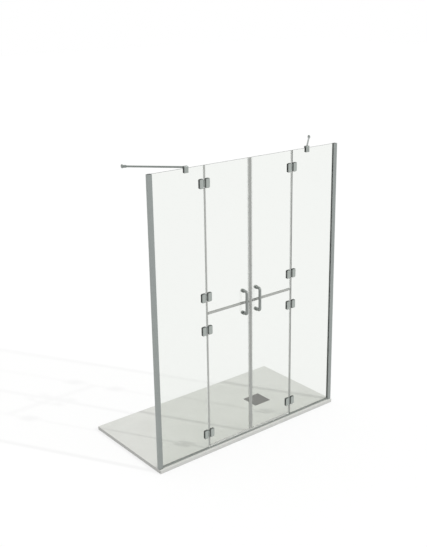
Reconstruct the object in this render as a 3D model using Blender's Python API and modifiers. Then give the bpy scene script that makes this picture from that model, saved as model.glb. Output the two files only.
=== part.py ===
"""Shower enclosure with two pairs of split glass doors on a flat tray.

Metres, +Z up. The origin is the middle of the tray's underside. +X runs along the
front to the right, and +Y from the doors to the back of the tray. Each door leaf
hangs from an empty that stands on its hinge axis.
"""

import math

import bmesh
import bpy
from mathutils import Matrix, Vector

# Driving dimensions
TRAY_LENGTH = 1.600
TRAY_DEPTH = 0.800
TRAY_HEIGHT = 0.026
ENCLOSURE_HEIGHT = 2.000  # from the tray's top to the top of the glass
LEAF_WIDTH = 0.375  # from a hinge axis to the middle of the doorway
SPLIT_HEIGHT = 1.000  # from the tray's top to the middle of the split
GLASS_THICKNESS = 0.008
FRONT_SETBACK = 0.012  # from the tray's front edge to the wall profiles

# Clearances
SEAT_GAP = 0.0003  # between pieces that touch
RUN_GAP = 0.0003  # between pieces that pass each other
CUT_OVERRUN = 0.005  # how far a cutter stands past what it cuts

# Tray
TRAY_EDGE_ROUND = 0.0025
TRAY_RIM_WIDTH = 0.045
TRAY_FALL = 0.005
DRAIN_X = 0.360
DRAIN_Y = -0.018

# Drain cover
COVER_SIZE = 0.146
COVER_THICKNESS = 0.004
COVER_CORNER_RADIUS = 0.003
COVER_SIDE_GAP = 0.002
COVER_EDGE_ROUND = 0.0008
COVER_FOOT_RADIUS = 0.006
COVER_FOOT_HEIGHT = 0.003
COVER_FOOT_INSET = 0.016
COVER_FOOT_SINK = 0.001

# Waste insert
WASTE_FLANGE_RADIUS = 0.042
WASTE_FLANGE_THICKNESS = 0.003
WASTE_FLANGE_BEVEL = 0.001
WASTE_NECK_RADIUS = 0.027
WASTE_BORE_RADIUS = 0.020

# Wall profile, an open channel that takes the edge of the fixed glass
PROFILE_WIDTH = 0.030
PROFILE_DEPTH = 0.024
PROFILE_WEB = 0.002
PROFILE_CHEEK = 0.0018
PROFILE_LIP = 0.004
PROFILE_CORNER_ROUND = 0.0015
PROFILE_SCREW_HOLE_RADIUS = 0.0028
PROFILE_SCREW_INSET = 0.100

GLASS_WALL_GAP = 0.008  # from the wall profile's back to the edge of the fixed glass

# Bottom profile, a low channel under each fixed panel
BOTTOM_PROFILE_WALL = 0.0015
BOTTOM_PROFILE_BASE = 0.002
BOTTOM_PROFILE_HEIGHT = 0.012

# Threshold under the doors, in line with the bottom profiles
THRESHOLD_HEIGHT = 0.0087
THRESHOLD_BACK_HEIGHT = 0.003
THRESHOLD_SLOPE_RUN = 0.0045
THRESHOLD_ROUND = 0.001

# Glass edges
HINGE_EDGE_GAP = 0.006  # from a hinge axis to the glass on either side
MAGNET_EDGE_GAP = 0.0116  # from the middle of the doorway to the leaf glass
SPLIT_EDGE_GAP = 0.006  # from the middle of the split to the glass above and below
LEAF_BOTTOM_HEIGHT = 0.019  # from the tray's top to the lower leaf's glass

# Hinges
HINGE_INSET = 0.117  # from the tray, the split or the top of the glass to a hinge
HINGE_PLATE_LENGTH = 0.035
HINGE_PLATE_HEIGHT = 0.063
HINGE_PLATE_THICKNESS = 0.006
HINGE_PLATE_GAP = 0.0065  # from the axis to the plates on either side
HINGE_CORNER_RADIUS = 0.008
HINGE_RIM_BEVEL = 0.0025
HINGE_SWING_GAP = 0.00025  # between each plate's inner edge and the 45 degree line
HINGE_CORE_GAP = 0.007  # from the axis to the block in the glass notch
HINGE_CORE_HEIGHT = 0.047
HINGE_CORE_SINK = 0.001  # how far the block is sunk into either plate
HINGE_NOTCH_DEPTH = 0.020
HINGE_NOTCH_RADIUS = 0.006
HINGE_BARREL_RADIUS = 0.0055
HINGE_BARREL_HEIGHT = 0.046
HINGE_MIDDLE_KNUCKLE = 0.023
HINGE_ARM_HALF = 0.0034
HINGE_ARM_LENGTH = 0.0095
HINGE_PIN_RADIUS = 0.0025

# Seals
SEAL_WALL = 0.001
SEAL_LEG = 0.0045
SEAL_HINGE_CLEARANCE = 0.0005
BULB_RADIUS = 0.0047
BULB_WALL = 0.001
MAGNET_LEG = 0.009
MAGNET_BEVEL = 0.001
MAGNET_FACE_GAP = 0.0003  # from the middle of the doorway to each magnet face
SPLIT_SEAL_LEG = 0.005
SPLIT_SEAL_TAPER = 0.0037
SPLIT_SEAL_FOOT_HALF = 0.004
SPLIT_SEAL_START = 0.0122  # from the hinge axis, clear of the bulb seal's swing
BOTTOM_SEAL_LEG = 0.007
BOTTOM_SEAL_FIN_HALF = 0.0008
BOTTOM_SEAL_END_GAP = 0.001

# Handles, parted at the split
HANDLE_BAR_RADIUS = 0.010
HANDLE_STANDOFF = 0.032  # from the glass to the middle of the bar
HANDLE_BEND_RADIUS = 0.0125
HANDLE_POST_ABOVE = 0.088
HANDLE_POST_BELOW = 0.072
HANDLE_FROM_MIDDLE = 0.058  # from the middle of the doorway to each bar
ROSETTE_RADIUS = 0.013
ROSETTE_THICKNESS = 0.003
ROSETTE_BEVEL = 0.0008
ROSETTE_SINK = 0.001  # how far the post is sunk into its rosette
KNOB_LENGTH = 0.0155  # of the knob behind the glass
KNOB_BEVEL = 0.0015
HANDLE_BOLT_RADIUS = 0.004
HANDLE_HOLE_RADIUS = 0.006

# Stays, which slant outward and back from the glass top
STAY_ANGLE = math.radians(44)
STAY_CLAMP_SHARE = 0.33  # of the way from the hinge axis to the tray's end
STAY_BAR_RADIUS = 0.006
STAY_BAR_ABOVE_GLASS = 0.0066
STAY_SOCKET_START = 0.004
CLAMP_WIDTH = 0.032
CLAMP_DEPTH = 0.022
CLAMP_REACH = 0.030  # how far the clamp comes down over the glass
CLAMP_ROOF = 0.0067
CLAMP_ROUND = 0.002
STAY_FLANGE_RADIUS = 0.0125
STAY_FLANGE_THICKNESS = 0.004
STAY_SLEEVE_RADIUS = 0.0088
STAY_SLEEVE_LENGTH = 0.028
STAY_SLEEVE_FLOOR = 0.016

# Limits for welding and shading
WELD_DISTANCE = 0.000005
SMOOTH_LIMIT = math.radians(35)
FLAT_LIMIT = math.radians(1)

# Counts
ARC_STEPS = 3
BULB_STEPS = 6
ROUND_SIDES = 24
BARREL_SIDES = 12
TUBE_BEVEL_RESOLUTION = 4
BEND_STEPS = 5

# Worked out from the sizes above
HALF_LENGTH = TRAY_LENGTH / 2
HALF_DEPTH = TRAY_DEPTH / 2
HALF_GLASS = GLASS_THICKNESS / 2
GLASS_Y = -HALF_DEPTH + FRONT_SETBACK + PROFILE_DEPTH / 2
GLASS_TOP = TRAY_HEIGHT + ENCLOSURE_HEIGHT
SPLIT_Z = TRAY_HEIGHT + SPLIT_HEIGHT
FRAME_FLOOR = TRAY_HEIGHT + SEAT_GAP
FIXED_GLASS_BOTTOM = FRAME_FLOOR + BOTTOM_PROFILE_BASE + SEAT_GAP
LEAF_BOTTOM = TRAY_HEIGHT + LEAF_BOTTOM_HEIGHT
FACE = HALF_GLASS + SEAT_GAP  # where a piece seated on the glass begins
POCKET_HALF = COVER_SIZE / 2 + COVER_SIDE_GAP
POCKET_TOP = TRAY_HEIGHT - TRAY_FALL
POCKET_FLOOR = POCKET_TOP - COVER_THICKNESS - COVER_FOOT_HEIGHT - SEAT_GAP
WASTE_SHOULDER = POCKET_FLOOR - WASTE_FLANGE_THICKNESS
STAY_Z = GLASS_TOP + STAY_BAR_ABOVE_GLASS
STAY_CLAMP_X = LEAF_WIDTH + STAY_CLAMP_SHARE * (HALF_LENGTH - LEAF_WIDTH)
STAY_RUN = HALF_LENGTH - STAY_CLAMP_X
STAY_WALL_Y = GLASS_Y + STAY_RUN * math.tan(STAY_ANGLE)
STAY_LENGTH = STAY_RUN / math.cos(STAY_ANGLE)
SIDES = {"left": -1, "right": 1}
HINGE_HEIGHTS = {
    "top": GLASS_TOP - HINGE_INSET,
    "above_split": SPLIT_Z + HINGE_INSET,
    "below_split": SPLIT_Z - HINGE_INSET,
    "bottom": TRAY_HEIGHT + HINGE_INSET,
}
LEVEL_HINGES = {"upper": ("above_split", "top"), "lower": ("bottom", "below_split")}
HANDLE_ACROSS = LEAF_WIDTH - HANDLE_FROM_MIDDLE

for old in list(bpy.data.objects):
    bpy.data.objects.remove(old)
PARTS = bpy.data.collections.new("shower_enclosure")
CUTTERS = bpy.data.collections.new("cutters")
bpy.context.scene.collection.children.link(PARTS)
bpy.context.scene.collection.children.link(CUTTERS)


# Materials

def finish(name, colour, roughness, metallic=0, transmission=0):
    """A plain Principled finish."""
    material = bpy.data.materials.new(name)
    material.use_nodes = True
    shader = material.node_tree.nodes["Principled BSDF"]
    shader.inputs["Base Color"].default_value = (*colour, 1)
    shader.inputs["Roughness"].default_value = roughness
    shader.inputs["Metallic"].default_value = metallic
    shader.inputs["Transmission Weight"].default_value = transmission
    return material


CLEAR_GLASS = finish("clear_glass", (0.86, 0.92, 0.89), 0.02, transmission=1)
SATIN_STEEL = finish("satin_steel", (0.42, 0.44, 0.43), 0.35, metallic=1)
HANDLE_STEEL = finish("handle_steel", (0.34, 0.36, 0.35), 0.35, metallic=1)
ALUMINIUM = finish("aluminium", (0.36, 0.38, 0.37), 0.4, metallic=1)
SEAL_PLASTIC = finish("seal_plastic", (0.46, 0.46, 0.44), 0.45)
TRAY_STONE = finish("tray_stone", (0.66, 0.68, 0.64), 0.6)
COVER_METAL = finish("cover_metal", (0.21, 0.21, 0.19), 0.5, metallic=1)


# Building blocks

def evaluated_mesh(holder):
    """The mesh of an object with its modifiers applied. The object is removed."""
    bpy.context.view_layer.update()
    graph = bpy.context.evaluated_depsgraph_get()
    mesh = bpy.data.meshes.new_from_object(holder.evaluated_get(graph))
    bpy.data.objects.remove(holder)
    return mesh


def closed_mesh(mesh):
    """The same mesh with its loose caps welded and its faces pointing out."""
    shape = bmesh.new()
    shape.from_mesh(mesh)
    bmesh.ops.remove_doubles(shape, verts=shape.verts, dist=WELD_DISTANCE)
    bmesh.ops.recalc_face_normals(shape, faces=shape.faces)
    shape.to_mesh(mesh)
    shape.free()
    return mesh


def scratch_object(name, data):
    """An object in the cutters' collection, to be evaluated or to cut with."""
    holder = bpy.data.objects.new(name, data)
    CUTTERS.objects.link(holder)
    holder.hide_render = True
    holder.display_type = "WIRE"
    return holder


def rounded(corners, steps=ARC_STEPS):
    """An outline from (x, y, radius) corners, with an arc at each that has a radius."""
    points = []
    for index, (x, y, radius) in enumerate(corners):
        corner = Vector((x, y))
        if not radius:
            points.append(corner)
            continue
        before = Vector(corners[index - 1][:2]) - corner
        after = Vector(corners[(index + 1) % len(corners)][:2]) - corner
        half_angle = before.angle(after) / 2
        to_centre = (before.normalized() + after.normalized()).normalized()
        centre = corner + to_centre * radius / math.sin(half_angle)
        start = corner + before.normalized() * radius / math.tan(half_angle) - centre
        end = corner + after.normalized() * radius / math.tan(half_angle) - centre
        turn = start.angle_signed(end)
        for step in range(steps + 1):
            points.append(centre + Matrix.Rotation(-turn * step / steps, 2) @ start)
    return [tuple(point) for point in points]


def circle(radius, sides, x=0, y=0):
    """Points round a circle."""
    angles = [math.tau * side / sides for side in range(sides)]
    return [(x + radius * math.cos(angle), y + radius * math.sin(angle)) for angle in angles]


def outline_mesh(loops, thickness):
    """A flat outline drawn in XY, thick along Z. Loops after the first are holes."""
    curve = bpy.data.curves.new("outline", "CURVE")
    curve.dimensions = "2D"
    curve.fill_mode = "BOTH"
    curve.extrude = thickness / 2
    for loop in loops:
        spline = curve.splines.new("POLY")
        spline.points.add(len(loop) - 1)
        for point, (x, y) in zip(spline.points, loop):
            point.co = (x, y, 0, 1)
        spline.use_cyclic_u = True
    return closed_mesh(evaluated_mesh(scratch_object("outline", curve)))


def upright(mesh, x, y, low, high):
    """Move a mesh that is thick along Z so that it runs from low to high."""
    mesh.transform(Matrix.Translation((x, y, (low + high) / 2)))
    return mesh


def post_mesh(loops, low, high, x=0, y=0):
    """An outline in plan that rises from low to high."""
    return upright(outline_mesh(loops, high - low), x, y, low, high)


def pane_mesh(loops, thickness, y=0):
    """An outline in elevation, across and up, that is thick along Y."""
    mesh = outline_mesh(loops, thickness)
    mesh.transform(Matrix.Translation((0, y, 0)) @ Matrix.Rotation(math.pi / 2, 4, "X"))
    return mesh


def rail_mesh(loops, left, right, y=0):
    """A section in depth and height that runs along X from left to right."""
    mesh = outline_mesh(loops, abs(right - left))
    turn = Matrix(((0, 0, 1, 0), (1, 0, 0, 0), (0, 1, 0, 0), (0, 0, 0, 1)))
    mesh.transform(Matrix.Translation(((left + right) / 2, y, 0)) @ turn)
    return mesh


def turned_mesh(profile, sides=ROUND_SIDES):
    """A profile of (radius, height) points turned about Z."""
    mesh = bpy.data.meshes.new("turned")
    on_axis = profile[0][0] == 0 and profile[-1][0] == 0
    edges = [(index, index + 1) for index in range(len(profile) - 1)]
    if not on_axis:
        edges.append((len(profile) - 1, 0))
    mesh.from_pydata([(radius, 0, height) for radius, height in profile], edges, [])
    holder = scratch_object("turned", mesh)
    screw = holder.modifiers.new("turn", "SCREW")
    screw.steps = sides
    screw.render_steps = sides
    screw.use_merge_vertices = True
    screw.merge_threshold = WELD_DISTANCE
    return closed_mesh(evaluated_mesh(holder))


def rod_mesh(radius, start, end, sides=ROUND_SIDES):
    """A round rod between two points."""
    start = Vector(start)
    along = Vector(end) - start
    shape = bmesh.new()
    bmesh.ops.create_cone(
        shape, cap_ends=True, segments=sides, radius1=radius, radius2=radius, depth=along.length
    )
    middle = Matrix.Translation(start + along / 2)
    shape.transform(middle @ along.to_track_quat("Z", "Y").to_matrix().to_4x4())
    mesh = bpy.data.meshes.new("rod")
    shape.to_mesh(mesh)
    shape.free()
    return mesh


def box_mesh(low, high):
    """A box between two corners."""
    shape = bmesh.new()
    bmesh.ops.create_cube(shape, size=1)
    size = [top - bottom for bottom, top in zip(low, high)]
    middle = [(top + bottom) / 2 for bottom, top in zip(low, high)]
    shape.transform(Matrix.Translation(middle) @ Matrix.Diagonal((*size, 1)))
    mesh = bpy.data.meshes.new("box")
    shape.to_mesh(mesh)
    shape.free()
    return mesh


def boolean(holder, mesh, operation, name="cutter"):
    """Cut a mesh out of an object, or join it on."""
    tool = scratch_object(name, mesh)
    modifier = holder.modifiers.new(name, "BOOLEAN")
    modifier.operation = operation
    modifier.object = tool
    return tool


def combined_mesh(first, others):
    """One closed mesh from a first mesh and (mesh, operation) pairs."""
    holder = scratch_object("combined", first)
    tools = [boolean(holder, mesh, operation) for mesh, operation in others]
    mesh = evaluated_mesh(holder)
    for tool in tools:
        bpy.data.objects.remove(tool)
    return closed_mesh(mesh)


def bevelled(holder, width, segments=2):
    """Round an object's sharp edges."""
    bevel = holder.modifiers.new("rounding", "BEVEL")
    bevel.width = width
    bevel.segments = segments
    bevel.limit_method = "ANGLE"
    bevel.angle_limit = SMOOTH_LIMIT
    return holder


def add_part(name, mesh, material, location=(0, 0, 0), parent=None):
    """One named piece of the enclosure."""
    mesh.name = name
    mesh.materials.clear()
    mesh.materials.append(material)
    mesh.shade_smooth()
    mesh.set_sharp_from_angle(angle=SMOOTH_LIMIT)
    part = bpy.data.objects.new(name, mesh)
    part.location = location
    part.parent = parent
    PARTS.objects.link(part)
    return part


# Tray with its drain

def fall_mesh():
    """What the fall takes off the tray: a low pyramid stump down to the drain pocket."""
    rim_x = HALF_LENGTH - TRAY_RIM_WIDTH
    rim_y = HALF_DEPTH - TRAY_RIM_WIDTH
    mesh = box_mesh((-rim_x, -rim_y, POCKET_TOP), (rim_x, rim_y, TRAY_HEIGHT + TRAY_FALL))
    for vertex in mesh.vertices:
        pocket_x = DRAIN_X + math.copysign(POCKET_HALF, vertex.co.x)
        pocket_y = DRAIN_Y + math.copysign(POCKET_HALF, vertex.co.y)
        if vertex.co.z < TRAY_HEIGHT:
            vertex.co.x = pocket_x
            vertex.co.y = pocket_y
        else:
            vertex.co.x += vertex.co.x - pocket_x
            vertex.co.y += vertex.co.y - pocket_y
    return mesh


def build_tray():
    slab = box_mesh((-HALF_LENGTH, -HALF_DEPTH, 0), (HALF_LENGTH, HALF_DEPTH, TRAY_HEIGHT))
    tray = bevelled(add_part("tray", slab, TRAY_STONE), TRAY_EDGE_ROUND)
    pocket = box_mesh(
        (DRAIN_X - POCKET_HALF, DRAIN_Y - POCKET_HALF, POCKET_FLOOR),
        (DRAIN_X + POCKET_HALF, DRAIN_Y + POCKET_HALF, TRAY_HEIGHT + CUT_OVERRUN),
    )
    flange_seat = rod_mesh(
        WASTE_FLANGE_RADIUS + SEAT_GAP,
        (DRAIN_X, DRAIN_Y, WASTE_SHOULDER - SEAT_GAP),
        (DRAIN_X, DRAIN_Y, TRAY_HEIGHT),
    )
    neck_hole = rod_mesh(
        WASTE_NECK_RADIUS + SEAT_GAP,
        (DRAIN_X, DRAIN_Y, -CUT_OVERRUN),
        (DRAIN_X, DRAIN_Y, TRAY_HEIGHT),
    )
    boolean(tray, fall_mesh(), "DIFFERENCE", "tray_fall")
    boolean(tray, pocket, "DIFFERENCE", "drain_pocket")
    boolean(tray, flange_seat, "DIFFERENCE", "flange_seat")
    boolean(tray, neck_hole, "DIFFERENCE", "neck_hole")


def build_waste():
    profile = [
        (WASTE_BORE_RADIUS, 0),
        (WASTE_BORE_RADIUS, POCKET_FLOOR - WASTE_FLANGE_BEVEL),
        (WASTE_BORE_RADIUS + WASTE_FLANGE_BEVEL, POCKET_FLOOR),
        (WASTE_FLANGE_RADIUS - WASTE_FLANGE_BEVEL, POCKET_FLOOR),
        (WASTE_FLANGE_RADIUS, POCKET_FLOOR - WASTE_FLANGE_BEVEL),
        (WASTE_FLANGE_RADIUS, WASTE_SHOULDER),
        (WASTE_NECK_RADIUS, WASTE_SHOULDER),
        (WASTE_NECK_RADIUS, 0),
    ]
    add_part("waste_body", turned_mesh(profile), SATIN_STEEL, (DRAIN_X, DRAIN_Y, 0))


def build_drain_cover():
    """A square plate on four feet, so that water runs in under its edge."""
    half = COVER_SIZE / 2
    corners = [(-half, -half), (half, -half), (half, half), (-half, half)]
    outline = rounded([(x, y, COVER_CORNER_RADIUS) for x, y in corners])
    plate_bottom = POCKET_TOP - COVER_THICKNESS
    plate = scratch_object("plate", post_mesh([outline], plate_bottom, POCKET_TOP))
    plate = evaluated_mesh(bevelled(plate, COVER_EDGE_ROUND, segments=1))
    foot_place = half - COVER_FOOT_INSET
    feet = []
    for x in (-foot_place, foot_place):
        for y in (-foot_place, foot_place):
            low = (x, y, plate_bottom - COVER_FOOT_HEIGHT)
            high = (x, y, plate_bottom + COVER_FOOT_SINK)
            feet.append((rod_mesh(COVER_FOOT_RADIUS, low, high, BARREL_SIDES), "UNION"))
    add_part("drain_cover", combined_mesh(plate, feet), COVER_METAL, (DRAIN_X, DRAIN_Y, 0))


# Fixed glass with its profiles, and the threshold

def build_wall_profile(side_name, side):
    """A channel with lips at its mouth, and screw holes through its web."""
    half = PROFILE_DEPTH / 2
    inner = half - PROFILE_CHEEK
    mouth = FACE
    lip_start = PROFILE_WIDTH - PROFILE_LIP
    section = [
        (0, -half, 0),
        (PROFILE_WIDTH, -half, PROFILE_CORNER_ROUND),
        (PROFILE_WIDTH, -mouth, 0),
        (lip_start, -mouth, 0),
        (lip_start, -inner, 0),
        (PROFILE_WEB, -inner, 0),
        (PROFILE_WEB, inner, 0),
        (lip_start, inner, 0),
        (lip_start, mouth, 0),
        (PROFILE_WIDTH, mouth, 0),
        (PROFILE_WIDTH, half, PROFILE_CORNER_ROUND),
        (0, half, 0),
    ]
    outline = rounded([(-side * across, deep, radius) for across, deep, radius in section])
    mesh = post_mesh([outline], FRAME_FLOOR, GLASS_TOP)
    profile = add_part("wall_profile_" + side_name, mesh, ALUMINIUM, (side * HALF_LENGTH, GLASS_Y, 0))
    heights = (FRAME_FLOOR + PROFILE_SCREW_INSET, SPLIT_Z, GLASS_TOP - PROFILE_SCREW_INSET)
    for height in heights:
        outside = (side * (HALF_LENGTH + CUT_OVERRUN), GLASS_Y, height)
        inside = (side * (HALF_LENGTH - PROFILE_WEB - PROFILE_CHEEK), GLASS_Y, height)
        hole = rod_mesh(PROFILE_SCREW_HOLE_RADIUS, outside, inside, BARREL_SIDES)
        boolean(profile, hole, "DIFFERENCE", "screw_hole_" + side_name)


def notch_corners(edge, inward, middle):
    """A hinge notch in a glass edge, from its lower to its upper corner."""
    half = HINGE_CORE_HEIGHT / 2 + SEAT_GAP
    deep = edge + inward * HINGE_NOTCH_DEPTH
    return [
        (edge, middle - half, 0),
        (deep, middle - half, HINGE_NOTCH_RADIUS),
        (deep, middle + half, HINGE_NOTCH_RADIUS),
        (edge, middle + half, 0),
    ]


def build_fixed_glass(side_name, side):
    wall_edge = side * (HALF_LENGTH - GLASS_WALL_GAP)
    hinge_edge = side * (LEAF_WIDTH + HINGE_EDGE_GAP)
    corners = [(wall_edge, FIXED_GLASS_BOTTOM, 0), (hinge_edge, FIXED_GLASS_BOTTOM, 0)]
    for height in sorted(HINGE_HEIGHTS.values()):
        corners += notch_corners(hinge_edge, side, height)
    corners += [(hinge_edge, GLASS_TOP, 0), (wall_edge, GLASS_TOP, 0)]
    mesh = pane_mesh([rounded(corners)], GLASS_THICKNESS)
    add_part("fixed_glass_" + side_name, mesh, CLEAR_GLASS, (0, GLASS_Y, 0))


def build_bottom_profile(side_name, side):
    """A low channel on the tray that takes the bottom edge of the fixed glass."""
    outer = FACE + BOTTOM_PROFILE_WALL
    top = FRAME_FLOOR + BOTTOM_PROFILE_HEIGHT
    floor = FRAME_FLOOR + BOTTOM_PROFILE_BASE
    section = [
        (-outer, FRAME_FLOOR),
        (outer, FRAME_FLOOR),
        (outer, top),
        (FACE, top),
        (FACE, floor),
        (-FACE, floor),
        (-FACE, top),
        (-outer, top),
    ]
    wall_end = side * (HALF_LENGTH - PROFILE_WIDTH - SEAT_GAP)
    hinge_end = side * (LEAF_WIDTH + HINGE_EDGE_GAP)
    mesh = rail_mesh([section], wall_end, hinge_end)
    add_part("bottom_profile_" + side_name, mesh, ALUMINIUM, (0, GLASS_Y, 0))


def build_threshold():
    """A low bar under the doors that sheds water back on to the tray."""
    half = FACE + BOTTOM_PROFILE_WALL
    top = FRAME_FLOOR + THRESHOLD_HEIGHT
    section = [
        (-half, FRAME_FLOOR, 0),
        (half, FRAME_FLOOR, 0),
        (half, FRAME_FLOOR + THRESHOLD_BACK_HEIGHT, THRESHOLD_ROUND),
        (half - THRESHOLD_SLOPE_RUN, top, THRESHOLD_ROUND),
        (-half, top, THRESHOLD_ROUND),
    ]
    end = LEAF_WIDTH + HINGE_EDGE_GAP - SEAT_GAP
    add_part("threshold", rail_mesh([rounded(section)], -end, end), ALUMINIUM, (0, GLASS_Y, 0))


# Hinges

def hinge_plate_mesh(direction, face):
    """One bevelled plate. Its inner edge is cut at 45 degrees so that the leaf can swing."""
    near = HINGE_PLATE_GAP
    far = HINGE_PLATE_GAP + HINGE_PLATE_LENGTH
    half = HINGE_PLATE_HEIGHT / 2
    corners = [(near, -half), (far, -half), (far, half), (near, half)]
    outline = rounded([(direction * x, z, HINGE_CORNER_RADIUS) for x, z in corners])
    middle = face * (FACE + HINGE_PLATE_THICKNESS / 2)
    mesh = pane_mesh([outline], HINGE_PLATE_THICKNESS, middle)
    shape = bmesh.new()
    shape.from_mesh(mesh)
    bmesh.ops.dissolve_limit(
        shape, angle_limit=FLAT_LIMIT, verts=shape.verts, edges=shape.edges
    )
    outside = face * (FACE + HINGE_PLATE_THICKNESS)
    rim = [
        edge for edge in shape.edges
        if all(abs(vertex.co.y - outside) < WELD_DISTANCE for vertex in edge.verts)
    ]
    bmesh.ops.bevel(
        shape, geom=rim, offset=HINGE_RIM_BEVEL, segments=1, profile=0.5, affect="EDGES"
    )
    cut = bmesh.ops.bisect_plane(
        shape,
        geom=shape.verts[:] + shape.edges[:] + shape.faces[:],
        plane_co=(direction * HINGE_SWING_GAP, 0, 0),
        plane_no=(-direction, face, 0),
        clear_outer=True,
    )
    cut_edges = [item for item in cut["geom_cut"] if isinstance(item, bmesh.types.BMEdge)]
    bmesh.ops.holes_fill(shape, edges=cut_edges, sides=0)
    shape.to_mesh(mesh)
    shape.free()
    return closed_mesh(mesh)


def knuckle_loop(direction):
    """A barrel round the axis, drawn out into the arm that carries it."""
    start = math.asin(HINGE_ARM_HALF / HINGE_BARREL_RADIUS)
    sweep = math.tau - 2 * start
    outline = [(HINGE_ARM_LENGTH, -HINGE_ARM_HALF), (HINGE_ARM_LENGTH, HINGE_ARM_HALF)]
    for step in range(BARREL_SIDES):
        angle = start + sweep * step / (BARREL_SIDES - 1)
        outline.append((HINGE_BARREL_RADIUS * math.cos(angle), HINGE_BARREL_RADIUS * math.sin(angle)))
    return [(direction * x, y) for x, y in outline]


def hinge_half_mesh(direction, is_door):
    """Two plates on a block that fills the glass notch, with knuckles on the axis.

    The door's half has the bored middle knuckle. The fixed half has the outer two and
    the pin that is pressed into them.
    """
    half = HINGE_CORE_HEIGHT / 2
    far = HINGE_EDGE_GAP + HINGE_NOTCH_DEPTH - SEAT_GAP
    radius = HINGE_NOTCH_RADIUS - SEAT_GAP
    near = HINGE_CORE_GAP
    core = [(near, -half, 0), (far, -half, radius), (far, half, radius), (near, half, 0)]
    core_outline = rounded([(direction * x, z, corner) for x, z, corner in core])
    core_depth = 2 * (FACE + HINGE_CORE_SINK)
    middle = HINGE_MIDDLE_KNUCKLE / 2
    end = HINGE_BARREL_HEIGHT / 2
    knuckle = knuckle_loop(direction)
    pieces = [hinge_plate_mesh(direction, 1), hinge_plate_mesh(direction, -1)]
    if is_door:
        bore = circle(HINGE_PIN_RADIUS + RUN_GAP, BARREL_SIDES)
        pieces.append(post_mesh([knuckle, bore], -middle, middle))
    else:
        pieces.append(post_mesh([knuckle], -end, -middle - RUN_GAP))
        pieces.append(post_mesh([knuckle], middle + RUN_GAP, end))
        pin_end = middle + HINGE_PIN_RADIUS
        pieces.append(rod_mesh(HINGE_PIN_RADIUS, (0, 0, -pin_end), (0, 0, pin_end), BARREL_SIDES))
    core_mesh = pane_mesh([core_outline], core_depth)
    return combined_mesh(core_mesh, [(piece, "UNION") for piece in pieces])


def build_fixed_hinges(side_name, side):
    """The hinge halves on one fixed panel."""
    mesh = hinge_half_mesh(side, False)
    for place, height in HINGE_HEIGHTS.items():
        name = "hinge_fixed_" + side_name + "_" + place
        add_part(name, mesh, SATIN_STEEL, (side * LEAF_WIDTH, GLASS_Y, height))


# Door leaves. Within a leaf, across runs from the hinge axis to the doorway's middle.

def leaf_glass_mesh(side, bottom, top, hinges, post_height):
    """A leaf's pane with two hinge notches and the bolt hole of the handle."""
    near = -side * HINGE_EDGE_GAP
    far = -side * (LEAF_WIDTH - MAGNET_EDGE_GAP)
    corners = [(far, bottom, 0), (near, bottom, 0)]
    for height in sorted(hinges):
        corners += notch_corners(near, -side, height)
    corners += [(near, top, 0), (far, top, 0)]
    hole = circle(HANDLE_HOLE_RADIUS, BARREL_SIDES, -side * HANDLE_ACROSS, post_height)
    return pane_mesh([rounded(corners), hole], GLASS_THICKNESS)


def hinge_seal_mesh(side, low, high):
    """A length of clip-on seal with a hollow bulb about the axis."""
    outer = FACE + SEAL_WALL
    web_near = HINGE_EDGE_GAP - SEAT_GAP - SEAL_WALL
    web_far = HINGE_EDGE_GAP - SEAT_GAP
    leg_end = HINGE_EDGE_GAP + SEAL_LEG
    section = [
        (leg_end, -FACE),
        (web_far, -FACE),
        (web_far, FACE),
        (leg_end, FACE),
        (leg_end, outer),
        (web_near, outer),
        (web_near, BULB_RADIUS),
    ]
    section += half_round(BULB_RADIUS)
    section += [(web_near, -BULB_RADIUS), (web_near, -outer), (leg_end, -outer)]
    hollow = BULB_RADIUS - BULB_WALL
    inside = [(web_near - BULB_WALL, hollow)] + half_round(hollow)
    inside.append((web_near - BULB_WALL, -hollow))
    loops = [[(-side * x, y) for x, y in loop] for loop in (section, inside)]
    return post_mesh(loops, low, high)


def half_round(radius):
    """Points round the far half of a circle about the axis, from +Y to -Y."""
    angles = [math.pi / 2 + math.pi * step / BULB_STEPS for step in range(BULB_STEPS + 1)]
    return [(radius * math.cos(angle), radius * math.sin(angle)) for angle in angles]


def build_hinge_seals(leaf, side, axis, span, hinges):
    """The seal of a leaf's hinge side, in three lengths between its hinges."""
    clearance = HINGE_PLATE_HEIGHT / 2 + SEAL_HINGE_CLEARANCE
    stops = [span[0]]
    for height in hinges:
        stops += [height - clearance, height + clearance]
    stops.append(span[1])
    for place, low, high in zip(("bottom", "middle", "top"), stops[::2], stops[1::2]):
        mesh = hinge_seal_mesh(side, low, high)
        add_part("hinge_seal_" + leaf + "_" + place, mesh, SEAL_PLASTIC, parent=axis)


def magnet_seal_mesh(side, bottom, top):
    """A clip-on strip with a magnet in its nose."""
    outer = FACE + SEAL_WALL
    edge = LEAF_WIDTH - MAGNET_EDGE_GAP
    nose = LEAF_WIDTH - MAGNET_FACE_GAP
    leg_end = edge - MAGNET_LEG
    section = [
        (leg_end, -outer),
        (nose - MAGNET_BEVEL, -outer),
        (nose, -outer + MAGNET_BEVEL),
        (nose, outer - MAGNET_BEVEL),
        (nose - MAGNET_BEVEL, outer),
        (leg_end, outer),
        (leg_end, FACE),
        (edge + SEAT_GAP, FACE),
        (edge + SEAT_GAP, -FACE),
        (leg_end, -FACE),
    ]
    return post_mesh([[(-side * x, y) for x, y in section]], bottom, top)


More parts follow.
